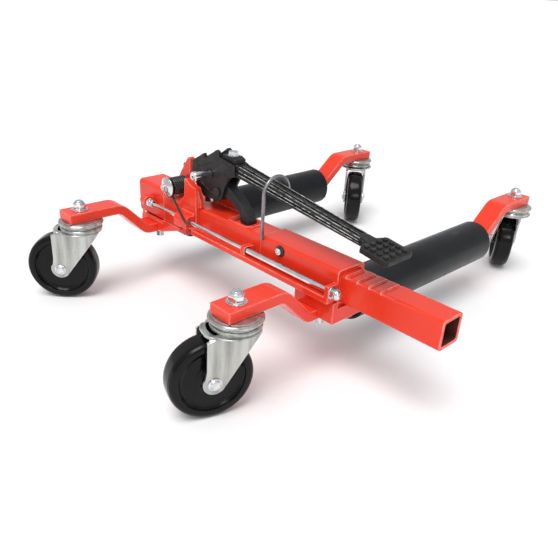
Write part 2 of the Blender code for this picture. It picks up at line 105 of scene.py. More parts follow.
def set_light():
    world = bpy.data.worlds.new("studio")
    bpy.context.scene.world = world
    world.use_nodes = True
    sky = world.node_tree.nodes["Background"]
    sky.inputs["Color"].default_value = (0.97, 0.98, 1.0, 1.0)
    sky.inputs["Strength"].default_value = 0.64
    aim("SUN", "key", (0.3, -0.75, 1.75), 2.1, angle=radians(34))
    aim("AREA", "front", (1.9, -1.5, 1.1), 5.0, size=0.5)
    bpy.context.scene.view_settings.view_transform = "Standard"


# ---------------------------------------------------------------- materials
class Surface:
    """A Principled material with its nodes; every varied input hangs on the piece's own coordinates."""

    def __init__(self, name, metallic=0.0, **fixed):
        self.mat = bpy.data.materials.new(name)
        self.mat.use_nodes = True
        self.tree = self.mat.node_tree
        self.shader = self.tree.nodes["Principled BSDF"]
        self.shader.inputs["Metallic"].default_value = metallic
        for key, value in fixed.items():
            self.shader.inputs[key.replace("_", " ")].default_value = value
        self.where = self.tree.nodes.new("ShaderNodeTexCoord").outputs["Object"]

    def node(self, kind, inputs, **props):
        n = self.tree.nodes.new(kind)
        for key, value in props.items():
            setattr(n, key, value)
        for key, value in inputs.items():
            self.feed(n.inputs[key], value)
        return n

    def feed(self, socket, value):
        if isinstance(value, bpy.types.NodeSocket):
            self.tree.links.new(value, socket)
        else:
            socket.default_value = value

    def noise(self, scale, detail=3.0, stretch=None):
        at = self.where
        if stretch:
            at = self.node("ShaderNodeMapping", {"Vector": at, "Scale": stretch}).outputs[0]
        return self.node("ShaderNodeTexNoise", {"Vector": at, "Scale": scale, "Detail": detail}).outputs["Fac"]

    def span(self, value, low, high, out_low, out_high):
        return self.node("ShaderNodeMapRange", {"Value": value, "From Min": low, "From Max": high,
                                                "To Min": out_low, "To Max": out_high}).outputs["Result"]

    def math(self, op, a, b):
        return self.node("ShaderNodeMath", {0: a, 1: b}, operation=op).outputs[0]

    def mix(self, fac, a, b):
        n = self.node("ShaderNodeMix", {0: fac, 6: a, 7: b}, data_type="RGBA")
        return n.outputs[2]

    def blotch(self, scale, detail, dark, light, low=0.35, high=0.65, stretch=None):
        """Soft patches of two shades."""
        return self.mix(self.span(self.noise(scale, detail, stretch), low, high, 0, 1), rgb(*dark), rgb(*light))

    def uneven(self, scale, detail, low, high):
        """A roughness that wanders between two values."""
        return self.span(self.noise(scale, detail), 0.3, 0.7, low, high)

    def grain(self, coarse, fine, share):
        """Two sizes of bump, each (scale, detail); share is the coarse one's."""
        return self.math("ADD", self.math("MULTIPLY", self.noise(*coarse), share),
                         self.math("MULTIPLY", self.noise(*fine), 1 - share))

    # Lightens every edge towards a colour: a painted highlight along the edges.
    def highlight_edges(self, base, radius, share, colour):
        return self.mix(self.math("MULTIPLY", self.edges(radius), share), base, rgb(*colour))

    def edges(self, radius, low=0.86, high=0.985):
        """1 on convex and concave edges, 0 on flats."""
        bent = self.node("ShaderNodeBevel", {"Radius": radius}, samples=6).outputs["Normal"]
        flat = self.tree.nodes.new("ShaderNodeNewGeometry").outputs["Normal"]
        dot = self.node("ShaderNodeVectorMath", {0: bent, 1: flat}, operation="DOT_PRODUCT").outputs["Value"]
        return self.span(dot, low, high, 1.0, 0.0)

    def finish(self, colour, rough, height=None, strength=0.1, depth=0.0002):
        self.feed(self.shader.inputs["Base Color"], colour)
        self.feed(self.shader.inputs["Roughness"], rough)
        if height is not None:
            bump = self.node("ShaderNodeBump", {"Height": height, "Strength": strength, "Distance": depth})
            self.feed(self.shader.inputs["Normal"], bump.outputs["Normal"])
        return self.mat


def rgb(r, g, b):
    return (r, g, b, 1.0)


def red_paint():
    s = Surface("red_powder_coat", Specular_IOR_Level=0.4)
    base = s.blotch(9, 3, (0.74, 0.034, 0.012), (0.83, 0.047, 0.018), 0.3, 0.7)
    # pale pink edges: a painted highlight along the edges, broken up by noise like paint worn thin
    worn_edge_highlight = s.math("MULTIPLY", s.edges(0.0023, 0.88, 0.99), s.span(s.noise(90, 4), 0.34, 0.56, 0.35, 1.0))
    base = s.mix(s.math("MULTIPLY", worn_edge_highlight, 0.9), base, rgb(1.0, 0.58, 0.48))
    base = s.mix(s.span(s.noise(420, 2), 0.72, 0.8, 0.0, 0.1), base, rgb(0.55, 0.02, 0.012))
    return s.finish(base, s.uneven(70, 3, 0.16, 0.28), s.grain((520, 2), (1900, 1), 0.6), 0.16, 0.0003)


def zinc_plate():
    s = Surface("satin_zinc", metallic=0.82)
    base = s.blotch(90, 3, (0.31, 0.318, 0.30), (0.57, 0.58, 0.555), stretch=(1.0, 1.0, 0.12))
    base = s.mix(s.span(s.noise(14, 3), 0.42, 0.66, 0.0, 0.4), base, rgb(0.50, 0.48, 0.41))
    # near-white edges: a painted highlight
    base = s.highlight_edges(base, 0.0016, 0.8, (0.95, 0.96, 0.96))
    return s.finish(base, s.uneven(45, 4, 0.2, 0.34), s.noise(700, 3, (1.0, 1.0, 0.3)), 0.10, 0.0002)


def bright_zinc():
    s = Surface("bright_zinc", metallic=1.0)
    base = s.blotch(150, 3, (0.55, 0.58, 0.61), (0.80, 0.82, 0.83))
    base = s.mix(s.span(s.noise(60, 2), 0.55, 0.72, 0.0, 0.5), base, rgb(0.62, 0.58, 0.47))
    # whitened edges: a painted highlight
    base = s.mix(s.edges(0.0005), base, rgb(0.93, 0.94, 0.95))
    return s.finish(base, s.uneven(300, 3, 0.18, 0.34), s.noise(1500, 2), 0.12, 0.00015)


def chrome():
    s = Surface("chrome", metallic=1.0)
    base = s.blotch(55, 3, (0.66, 0.67, 0.68), (0.84, 0.85, 0.86))
    # whitened edges: a painted highlight
    base = s.mix(s.edges(0.0005), base, rgb(0.95, 0.95, 0.96))
    return s.finish(base, s.uneven(200, 4, 0.09, 0.20), s.noise(900, 2), 0.06, 0.0001)


def wheel_black():
    """Moulded plastic with fine turning lines round the wheel's own axis."""
    s = Surface("moulded_black", Specular_IOR_Level=0.2)
    base = s.blotch(30, 4, (0.0025, 0.0025, 0.003), (0.006, 0.006, 0.0065))
    # greyer edges: a painted highlight along the rims
    base = s.highlight_edges(base, 0.0016, 0.5, (0.05, 0.05, 0.052))
    turned = s.node("ShaderNodeVectorMath", {0: s.where, 1: (1, 0, 1)}, operation="MULTIPLY").outputs[0]
    radius = s.node("ShaderNodeVectorMath", {0: turned}, operation="LENGTH").outputs["Value"]
    lines = s.node("ShaderNodeTexNoise", {"W": radius, "Scale": 1400, "Detail": 2}, noise_dimensions="1D").outputs[0]
    height = s.math("ADD", lines, s.math("MULTIPLY", s.noise(900, 2), 0.6))
    return s.finish(base, s.uneven(80, 4, 0.11, 0.22), height, 0.10, 0.0002)


def roller_paint():
    s = Surface("roller_black", Specular_IOR_Level=0.2)
    base = s.blotch(12, 4, (0.0045, 0.005, 0.006), (0.010, 0.0112, 0.0125))
    # greyer edges: a painted highlight
    base = s.highlight_edges(base, 0.0016, 0.6, (0.07, 0.07, 0.075))
    scuff = s.span(s.noise(60, 5, (1.0, 0.25, 1.0)), 0.62, 0.76, 0.0, 0.5)
    base = s.mix(scuff, base, rgb(0.035, 0.036, 0.036))
    return s.finish(base, s.uneven(55, 4, 0.24, 0.36), s.noise(1300, 3), 0.12, 0.0002)


def cast_iron():
    s = Surface("black_casting", Specular_IOR_Level=0.3)
    base = s.blotch(40, 5, (0.005, 0.005, 0.005), (0.017, 0.016, 0.015))
    # pale grey edges: a painted highlight along the edges, broken up by noise like worn paint
    worn_edge_highlight = s.math("MULTIPLY", s.edges(0.0013), s.span(s.noise(140, 5), 0.38, 0.62, 0.1, 1.0))
    base = s.mix(worn_edge_highlight, base, rgb(0.16, 0.16, 0.15))
    return s.finish(base, s.uneven(120, 4, 0.34, 0.55), s.grain((650, 4), (2200, 2), 0.7), 0.45, 0.0005)


def ribbed_iron():
    """The lever bar: the same casting with its rib crests painted near white, a painted highlight in the look of rubbed
    metal.
    """
    s = Surface("black_ribs", Specular_IOR_Level=0.3)
    base = s.blotch(40, 5, (0.005, 0.005, 0.005), (0.015, 0.014, 0.013))
    # near-white rib crests: a painted highlight along the ribs
    crest_glint_mask = s.span(s.noise(60, 4, (1.0, 2.5, 2.5)), 0.36, 0.56, 0.3, 1.0)
    base = s.mix(s.math("MULTIPLY", s.edges(0.0014, 0.72, 0.92), crest_glint_mask), base, rgb(0.95, 0.95, 0.93))
    return s.finish(base, s.uneven(120, 4, 0.32, 0.5), s.grain((650, 4), (2200, 2), 0.7), 0.35, 0.0004)


def pawl_steel():
    s = Surface("pawl_black", Specular_IOR_Level=0.3)
    base = s.blotch(35, 4, (0.012, 0.012, 0.014), (0.024, 0.024, 0.027))
    # greyer edges: a painted highlight
    base = s.highlight_edges(base, 0.0013, 0.5, (0.12, 0.12, 0.125))
    return s.finish(base, s.uneven(90, 4, 0.38, 0.52), s.noise(1200, 3), 0.22, 0.0003)


def spring_black():
    s = Surface("spring_black", Coat_Weight=0.3, Coat_Roughness=0.15)
    base = s.blotch(90, 3, (0.008, 0.008, 0.009), (0.02, 0.02, 0.022))
    base = s.mix(s.span(s.noise(260, 3), 0.62, 0.74, 0.0, 0.6), base, rgb(0.10, 0.10, 0.105))
    return s.finish(base, s.uneven(150, 3, 0.24, 0.4), s.noise(1500, 2), 0.1, 0.0002)


def wire_grey():
    s = Surface("wire_grey", metallic=0.85)
    base = s.blotch(70, 4, (0.20, 0.20, 0.21), (0.36, 0.36, 0.37))
    base = s.mix(s.span(s.noise(190, 3), 0.6, 0.74, 0.0, 0.6), base, rgb(0.22, 0.20, 0.19))
    return s.finish(base, s.uneven(160, 3, 0.25, 0.4), s.noise(1400, 2), 0.12, 0.0002)


def crest_highlight_paint():
    """Pale strips on the bar's rib crests: a painted highlight, coloured like bare metal."""
    s = Surface("crest_highlight_paint", metallic=0.6)
    base = s.blotch(130, 4, (0.10, 0.10, 0.10), (0.85, 0.85, 0.83), 0.38, 0.62, (1.0, 3.0, 3.0))
    return s.finish(base, s.uneven(160, 3, 0.3, 0.45), s.noise(1400, 2), 0.12, 0.0002)


def hollow_dark():
    s = Surface("socket_dark")
    base = s.blotch(90, 3, (0.01, 0.01, 0.01), (0.03, 0.03, 0.03))
    return s.finish(base, s.uneven(90, 3, 0.4, 0.6), s.noise(900, 2), 0.2, 0.0002)


def bore_shade_paint():
    """A dark brown lining inside the inner tube: painted shade for the tube's dim inside."""
    s = Surface("tube_bore", Specular_IOR_Level=0.25)
    base = s.blotch(60, 4, (0.045, 0.014, 0.010), (0.12, 0.024, 0.016))
    return s.finish(base, s.uneven(90, 3, 0.45, 0.65), s.noise(900, 2), 0.2, 0.0002)


def floor_white():
    s = Surface("studio_floor")
    base = s.blotch(1.3, 2, (0.90, 0.90, 0.90), (0.93, 0.93, 0.93), 0.3, 0.7)
    return s.finish(base, s.uneven(3, 2, 0.6, 0.75))


RED, ZINC, BRIGHT, CHROME, BLACK = red_paint(), zinc_plate(), bright_zinc(), chrome(), wheel_black()
ROLLER, IRON, RIBS, PAWL, SPRING = roller_paint(), cast_iron(), ribbed_iron(), pawl_steel(), spring_black()
WIRE, DARK, BORE_SHADE, CREST_PAINT, FLOOR = wire_grey(), hollow_dark(), bore_shade_paint(), crest_highlight_paint(), floor_white()


# ---------------------------------------------------------------- mesh helpers
def loops_mesh(loops, closed=False):
    """Join rings of points in order. Closed makes a ring of them; otherwise both ends are capped."""
    bm = bmesh.new()
    rings = [[bm.verts.new(p) for p in ring] for ring in loops]
    count = len(rings[0])
    pairs = list(zip(rings, rings[1:])) + ([(rings[-1], rings[0])] if closed else [])
    for a, b in pairs:
        for i in range(count):
            j = (i + 1) % count
            bm.faces.new((a[i], a[j], b[j], b[i]))
    if not closed:
        bm.faces.new(rings[0])
        bm.faces.new(reversed(rings[-1]))
    return bm


def fillet(points, radius, steps=4, closed=True):
    """Round the corners of an outline; radius is one number or one for each point."""
    n = len(points)
    radii = [radius] * n if isinstance(radius, (int, float)) else list(radius)
    out = []
    for k, point in enumerate(points):
        b = Vector(point)
        if radii[k] <= 0 or (not closed and k in (0, n - 1)):
            out.append((b.x, b.y))
            continue
        u, v = Vector(points[k - 1]) - b, Vector(points[(k + 1) % n]) - b
        room = 0.46 * min(u.length, v.length)
        u.normalize()
        v.normalize()
        half = u.angle(v) / 2
        if half > radians(87):
            out.append((b.x, b.y))
            continue
        reach = min(radii[k] / tan(half), room)
        r = reach * tan(half)
        centre = b + (u + v).normalized() * (r / sin(half))
        start, end = b + u * reach - centre, b + v * reach - centre
        a0, a1 = atan2(start.y, start.x), atan2(end.y, end.x)
        turn = (a1 - a0 + pi) % (2 * pi) - pi
        for s in range(steps + 1):
            a = a0 + turn * s / steps
            out.append((centre.x + cos(a) * r, centre.y + sin(a) * r))
    return out


def round_rect(half_y, half_z, radius, steps=6):
    return fillet([(half_y, half_z), (-half_y, half_z), (-half_y, -half_z), (half_y, -half_z)], radius, steps)


def along(axis, centre, a, b, height):
    """The point at (a, b) from centre, across the axis, and at height along it."""
    a, b = centre[0] + a, centre[1] + b
    return {"x": (height, a, b), "y": (a, height, b), "z": (a, b, height)}[axis]


def prism(outline, axis, low, high):
    return loops_mesh([[along(axis, (0, 0), a, b, end) for a, b in outline] for end in (low, high)])


def box(x, y, z):
    return prism([(x[0], y[0]), (x[1], y[0]), (x[1], y[1]), (x[0], y[1])], "z", z[0], z[1])


def circle(centre, radius, count, start=0.0, sweep=360.0):
    step = sweep / (count if sweep == 360.0 else count - 1)
    return [(centre[0] + radius * cos(radians(start + i * step)),
             centre[1] + radius * sin(radians(start + i * step))) for i in range(count)]


def lathe(profile, centre=(0, 0), axis="z", count=64, closed=False):
    """Turn a profile of (radius, height) round an axis through centre."""
    return loops_mesh([[along(axis, centre, a, b, height) for a, b in circle((0, 0), radius, count)]
                       for radius, height in profile], closed)


def drill(radius, start, end, centre, axis, count=32):
    """A plain cylinder, to cut a hole with."""
    return lathe([(radius, start), (radius, end)], centre, axis, count)


def washer(bore, rim, start, end, soft=0.4, centre=(0, 0), axis="z", count=48):
    """A flat ring with its edges eased by soft."""
    return lathe(fillet([(bore, start), (rim, start), (rim, end), (bore, end)], soft, 2), centre, axis, count, True)


def gather(*parts):
    """Put several closed shells into one mesh."""
    whole = bmesh.new()
    for bm in parts:
        bm.verts.index_update()
        verts = [whole.verts.new(v.co) for v in bm.verts]
        for f in bm.faces:
            whole.faces.new([verts[v.index] for v in f.verts])
        bm.free()
    return whole


def raw(name, bm, matrix=None):
    """An object from a bmesh in millimetres. With a matrix (in millimetres too) the mesh stays local."""
    bmesh.ops.recalc_face_normals(bm, faces=bm.faces)
    bmesh.ops.scale(bm, verts=bm.verts, vec=(MM, MM, MM))
    mesh = bpy.data.meshes.new(name)
    bm.to_mesh(mesh)
    bm.free()
    obj = bpy.data.objects.new(name, mesh)
    turn = matrix.copy() if matrix else Matrix.Identity(4)
    turn.translation = (turn.translation - ORIGIN) * MM
    obj.matrix_world = turn
    bpy.context.scene.collection.objects.link(obj)
    return obj


def settle(obj):
    """Put the modifiers' result into the mesh."""
    bpy.context.view_layer.update()
    deps = bpy.context.evaluated_depsgraph_get()
    mesh = bpy.data.meshes.new_from_object(obj.evaluated_get(deps))
    obj.modifiers.clear()
    old = obj.data
    obj.data = mesh
    bpy.data.meshes.remove(old)


def carve(obj, bm, operation="DIFFERENCE"):
    """Boolean a mesh given in the piece's own millimetres."""
    matrix = obj.matrix_world.copy()
    matrix.translation = matrix.translation / MM + ORIGIN
    tool = raw("tool", bm, matrix)
    mod = obj.modifiers.new("carve", "BOOLEAN")
    mod.object, mod.operation, mod.solver = tool, operation, "EXACT"
    settle(obj)
    bpy.data.objects.remove(tool, do_unlink=True)


def piece(name, bm, material, body, node=None, bevel=0.0, segments=3, matrix=None, join=(), cut=(), keep=(),
          angle=32.0):
    """One finished piece: shape, edges, shading, material, and the body it rides on."""
    obj = raw(name, bm, matrix)
    for tool in keep:
        carve(obj, tool, "INTERSECT")
    for tool in join:
        carve(obj, tool, "UNION")
    for tool in cut:
        carve(obj, tool)
    if bevel:
        mod = obj.modifiers.new("edges", "BEVEL")
        mod.width, mod.segments = bevel * MM, segments
        mod.limit_method, mod.angle_limit = "ANGLE", radians(angle)
        mod.use_clamp_overlap = False
        mod.miter_outer = "MITER_ARC"
        settle(obj)
    obj.data.shade_smooth()
    obj.data.set_sharp_from_angle(angle=radians(SHARP_ANGLE))
    mod = obj.modifiers.new("normals", "WEIGHTED_NORMAL")
    mod.keep_sharp = True
    dress(obj, material, body, node)


def dress(obj, material, body, node=None):
    """Material, the body the piece rides on, and the CAD node it stands for, if any."""
    obj.data.materials.clear()
    obj.data.materials.append(material)
    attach(obj, body)
    if node:
        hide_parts(node)


def wire(name, points, radius, material, body, node=None, radii=None, resolution=6):
    """A round wire through points, in beam millimetres."""
    curve = bpy.data.curves.new(name, "CURVE")
    curve.dimensions = "3D"
    spline = curve.splines.new("POLY")
    spline.points.add(len(points) - 1)
    for k, (point, co) in enumerate(zip(spline.points, points)):
        point.co = (*(c * MM for c in co), 1.0)
        point.radius = radii[k] if radii else 1.0
    spline.use_smooth = True
    curve.bevel_depth = radius * MM
    curve.bevel_resolution = resolution
    curve.use_fill_caps = True
    obj = bpy.data.objects.new(name, curve)
    obj.location = -ORIGIN * MM
    bpy.context.scene.collection.objects.link(obj)
    dress(obj, material, body, node)


def smooth_path(points, steps):
    """A Catmull-Rom curve through points."""
    pts = [Vector(p) for p in points]
    pts = [pts[0] * 2 - pts[1]] + pts + [pts[-1] * 2 - pts[-2]]
    out = []
    for k in range(1, len(pts) - 2):
        a, b, c, d = pts[k - 1:k + 3]
        for s in range(steps):
            t = s / steps
            out.append(0.5 * ((2 * b) + (c - a) * t + (2 * a - 5 * b + 4 * c - d) * t * t
                              + (3 * b - a - 3 * c + d) * t ** 3))
    out.append(pts[-2])
    return out


def weld(name, ends, radius, body, pitch=2.6):
    """A weld bead laid along straight runs between the given points, with its ripples."""
    points, radii = [], []
    step, count = 0.65, 0
    for a, b in zip(ends, ends[1:]):
        a, b = Vector(a), Vector(b)
        n = max(2, int((b - a).length / step))
        for k in range(n):
            p = a.lerp(b, k / n)
            wave = 0.5 + 0.5 * cos(2 * pi * count * step / pitch)
            sway = 0.16 * radius * sin(count * 0.37)
            points.append((p.x, p.y, p.z + sway))
            radii.append(0.84 + 0.22 * wave + 0.05 * sin(count * 1.7))
            count += 1
    radii[0] = radii[-1] = 0.55
    wire(name, points, radius, RED, body, radii=radii, resolution=3)


def nut_mesh(radius, low, high, centre=(0, 0), axis="z", bore=None, chamfer=0.9, phase=0.0):
    """A hexagon along axis, its corners turned off at both faces, plain or with a bore."""
    count = 48
    flat = radius * cos(pi / 6)

    def ring(height, limit):
        points = []
        for k in range(count):
            a = 2 * pi * k / count
            reach = min(flat / cos(a % (pi / 3) - pi / 6), limit)
            points.append(along(axis, centre, reach * cos(a + phase), reach * sin(a + phase), height))
        return points

    steps = [(0, flat * 0.95), (0.12, flat * 0.99), (0.4, radius * 0.935), (1, radius * 0.985)]
    rings = [ring(low + share * chamfer, limit) for share, limit in steps]
    rings += [ring(high - share * chamfer, limit) for share, limit in reversed(steps)]
    if bore:
        rings += [ring(high, bore), ring(low, bore)]
    return loops_mesh(rings, bool(bore))


def beam_ring(x, half, radius):
    """A rounded square round the beam's axis."""
    return [(x, y, BEAM_Z + h) for y, h in round_rect(half, half, radius)]


def tube_mesh(x0, x1, half, bore, radius=4.5, inner=2.2, edge=0.5):
    """A square tube with a bore of half width bore; edge is how far its end corners are eased."""
    return loops_mesh([
        beam_ring(x0, half - edge, radius - edge), beam_ring(x0 + edge * 0.4, half - edge * 0.2, radius - edge * 0.2),
        beam_ring(x0 + edge, half, radius), beam_ring(x1 - edge, half, radius),
        beam_ring(x1 - edge * 0.4, half - edge * 0.2, radius - edge * 0.2), beam_ring(x1, half - edge, radius - edge),
        beam_ring(x1, bore + edge, inner + edge), beam_ring(x1 - edge, bore, inner),
        beam_ring(x0 + edge, bore, inner), beam_ring(x0, bore + edge, inner + edge)], True)


# ---------------------------------------------------------------- beam
def make_beam():
    slot = fillet([(2, -11), (6, -15), (38, -15), (44, -9), (44, 7), (40, 11), (2, 11)], 2.0, 3)
    piece("housing_tube_look", tube_mesh(*HOUSING_X, HOUSING, 19.35), RED, "frame_left", "housing_tube",
          cut=[prism(slot, "z", 150, 165)])
    lip = fillet([(-2.5, -14), (3.5, -19.4), (40.5, -19.4), (48.5, -11), (48.5, 9.5), (43.5, 15), (-2.5, 15)],
                 3.0, 4)
    piece("slot_lip", prism(lip, "z", 153.4, 156.4), RED, "frame_left", bevel=1.2, segments=4,
          cut=[prism(slot, "z", 150, 165)])

    x0, x1 = SLEEVE_X
    collar_x = 104                          # the sleeve's bore closes to a collar from here on
    sleeve = [beam_ring(x0, SLEEVE - 0.5, 4.5), beam_ring(x0 + 0.5, SLEEVE, 5), beam_ring(x1 - 0.5, SLEEVE, 5),
              beam_ring(x1, SLEEVE - 0.5, 4.5), beam_ring(x1, 19.8, 3), beam_ring(x1 - 0.5, 19.3, 2.6),
              beam_ring(collar_x, 19.3, 2.6), beam_ring(collar_x, 22.3, 3), beam_ring(x0 + 0.5, 22.3, 3),
              beam_ring(x0, 22.8, 3)]
    piece("sleeve_tube_look", loops_mesh(sleeve, True), RED, "carriage", "sleeve_tube",
          cut=[drill(4.3, -26, -20, SLEEVE_SCREW, "y")])

    top = BEAM_Z + INNER
    notches = []
    for i in range(TOOTH_COUNT):
        start = TOOTH_END_X - TOOTH_PITCH * (i + 1)
        end = start + TOOTH_LENGTH
        notches.append(prism([(start, top - TOOTH_DEPTH), (end, top + 0.2), (end, top + 1), (start, top + 1)],
                             "y", -20, 20))
    piece("inner_tube_look", tube_mesh(*INNER_X, INNER, 15.0, 4.2, 2.4, 0.6), RED, "carriage", "inner_tube",
          cut=[gather(*notches)])

    # a dark lining just inside the inner tube's bore: painted shade
    lining = [beam_ring(x, half, r) for x, half, r in ((-190, 14.9, 2.2), (364.2, 14.9, 2.2), (364.2, 14.5, 1.9),
                                                       (-190, 14.5, 1.9))]
    piece("inner_tube_bore_shade", loops_mesh(lining, True), BORE_SHADE, "carriage")

    screw = nut_mesh(5.2, -29.2, -26.4, SLEEVE_SCREW, "y", chamfer=0.8)
    piece("sleeve_screw_look", screw, CHROME, "carriage", "sleeve_screw")
    piece("sleeve_washer", washer(4.1, 7.5, -24.9, -26.3, 0.4, SLEEVE_SCREW, "y"), SPRING, "carriage")
    piece("sleeve_gasket", washer(4.1, 8.0, -24.6, -25.2, 0.2, SLEEVE_SCREW, "y"), DARK, "carriage")
    dome = [(3.2 * cos(a), -29.0 - 1.2 * sin(a)) for a in (0, 0.4, 0.8, 1.2, 1.5)]
    piece("sleeve_screw_tip", lathe([(3.2, -28.0)] + dome, SLEEVE_SCREW, "y", 32), BRIGHT, "carriage")


def arm_room(x):
    """The room that an arm takes under the beam, to cut from its socket."""
    return box((x - SOCKET_HALF, x + SOCKET_HALF), (-40, 40), (80, BASE_TOP + 0.3))


def make_left_frame():
    def ring(x, hy, hz, r):
        return [(x, y, BEAM_Z + z) for y, z in round_rect(hy, hz, r, 8)]
    rows = [ring(-218.7, 22.3, 22.3, 4), ring(-150, 22.3, 22.3, 4), ring(-150, 25.4, 27.4, 6.4),
            ring(-150.6, 26, 28, 7), ring(-219.4, 26, 28, 7), ring(-221.0, 25.6, 27.6, 6.6),
            ring(-221.8, 24.6, 26.6, 5.6), ring(-222.0, 23.4, 25.4, 4.6)]
    piece("end_box_look", loops_mesh(rows), RED, "frame_left", "end_box")
    boss = lathe([(3.0, -197), (5.6, -196.4), (7.4, -194.6), (8.0, -192), (8.2, -184), (9.0, -181), (8.8, -179.4),
                  (7.6, -179)], (ROD_AXIS[0] + 0.8, ROD_AXIS[1]), "x", 48)
    piece("end_box_boss", boss, RED, "frame_left", join=[box((-193, -181), (-35, -24), (127, 140))], bevel=0.5)

    foot = fillet([(-212, 92), (-207, 87), (-154, 88), (-140, 92.5), (-104, 105.5), (-104, 110.1), (-149.6, 110.1),
                   (-149.6, 104.2), (-212, 104.2)], [2, 2, 8, 8, 2, 2, 1, 1, 2], 4)
    piece("left_socket_look", prism(foot, "y", -30, 24), RED, "frame_left", "left_socket", bevel=0.9,
          cut=[arm_room(-ARM_X)])

    top = [(-61, 178), (-63, 185), (-71, 185.4), (-80, 189.5), (-87, 194), (-90.5, 193), (-90.5, 181), (-92, 165)]
    fin = fillet([(-147.5, 110.6), (-104, 110.6), (-94, 121), (-62, 121)] + top + [(-104.5, 151.5), (-147.5, 151.5)],
                 [2, 2, 5, 3, 4, 4, 4, 6, 1.5, 1.5, 5, 6, 3, 3], 4)
    rib = fillet([(-99, 154.8), (-55, 154.8), (-57, 168)] + top, [2, 2, 6, 4, 4, 4, 6, 1.5, 1.5, 5, 6], 4)
    piece("fin_bracket_look", prism(fin, "y", -28.0, -22.3), RED, "frame_left", "fin_bracket", bevel=0.8,
          join=[prism(rib, "y", -24.0, -17.0)])
    tall = fillet([(-150, 154.8), (-117, 154.8), (-117, 213), (-122.5, 214), (-144, 184), (-150, 172)],
                  [2, 2, 2.5, 3, 6, 6], 4)
    piece("tall_bracket_look", prism(tall, "y", 2.3, 12.3), RED, "frame_left", "tall_bracket", bevel=0.9,
          cut=[drill(5.3, 0, 15, COIL_AXIS, "y")])
    far = [(-86, 154.8), (-10, 154.8), (-20, 172)] + circle(PIVOT, 14, 21, -10, 200) + [(-78, 172)]
    piece("far_bracket_look", prism(far, "y", 15.5, 21.8), RED, "frame_left", "far_bracket", bevel=0.8,
          cut=[drill(5.3, 10, 30, PIVOT, "y")])

    lug = [(-44, 123.5), (-28.3, 123.5), (-28.3, 142.5)] + circle(ROD_AXIS, 8.6, 17, 70, 130)
    piece("guide_lug_look", prism(lug, "x", -97, -66), RED, "frame_left", "guide_lug", bevel=1.0,
          cut=[drill(3.35, -100, -60, ROD_AXIS, "x")])

    pin = fillet([(4.6, -43.4), (6.4, -43.2), (7.2, -42.2), (7.2, -38.9), (6.2, -38.2), (6.2, -13.4), (5.0, -13.4),
                  (5.0, 22.1), (8.2, 22.1), (8.2, 23.8), (5.0, 23.8), (5.0, 25.0), (4.2, 25.8)], 0.35, 2, False)
    piece("lever_pin_look", lathe(pin, PIVOT, "y", 48), CHROME, "frame_left", "lever_pin",
          cut=[lathe([(3.0, -44), (2.6, -41)], PIVOT, "y", 6)])

    weld("weld_fin", [(-98, -16.4, 155.0), (-56, -16.4, 155.2)], 1.7, "frame_left")
    weld("weld_tall", [(-149, 1.2, 155.4), (-117.5, 1.2, 155.4)], 1.9, "frame_left")
    weld("weld_tall_end", [(-116.6, 2.4, 155.6), (-116.6, 12.4, 155.6)], 1.8, "frame_left")
    weld("weld_far", [(-85, 14.8, 155.2), (-11, 14.8, 155.2)], 1.6, "frame_left")
    weld("weld_box_near", [(-149.2, -22.6, 112.5), (-149.2, -22.8, 152.0)], 2.0, "frame_left")
    weld("weld_box_top", [(-149.2, -20, 155.4), (-149.2, 20, 155.4)], 2.0, "frame_left")
    weld("weld_socket", [(-212, -27.0, 105.0), (-150, -27.0, 105.0)], 1.8, "frame_left")
    weld("weld_lug", [(-97, -28.2, 143.6), (-66, -28.2, 143.6)], 1.6, "frame_left")
    weld("weld_box_end", [(-217.5, -24, 105.0), (-217.5, 24, 105.0)], 1.5, "frame_left")


# ---------------------------------------------------------------- lever
def bar_top(x):
    return BAR_TOP_AT_0 - BAR_SLOPE * x


def bar_section(x):
    """Ribbed section of the lever bar at x, from its near bottom corner round."""
    t = bar_top(x)
    low = BAR_LOW[0] + (BAR_LOW[1] - BAR_LOW[0]) * (x - BAR_X[0]) / (BAR_X[1] - BAR_X[0])
    h = t - low
    a = t - 0.34 * h
    c = t - 0.66 * h
    half = [(10.2, low), (10.4, low + 0.16 * h), (10.4, c - 0.5), (9.6, c + 0.2), (8.0, c + 0.6), (7.9, a - 0.6),
            (9.6, a), (10.4, a + 0.5), (10.5, t - 0.5), (10.0, t), (7.7, t), (7.2, t - 0.6), (7.0, t - 2.2),
            (2.8, t - 2.4), (2.5, t - 0.6), (2.1, t)]
    return [(x, -y, z) for y, z in half] + [(x, y, z) for y, z in half[::-1]]


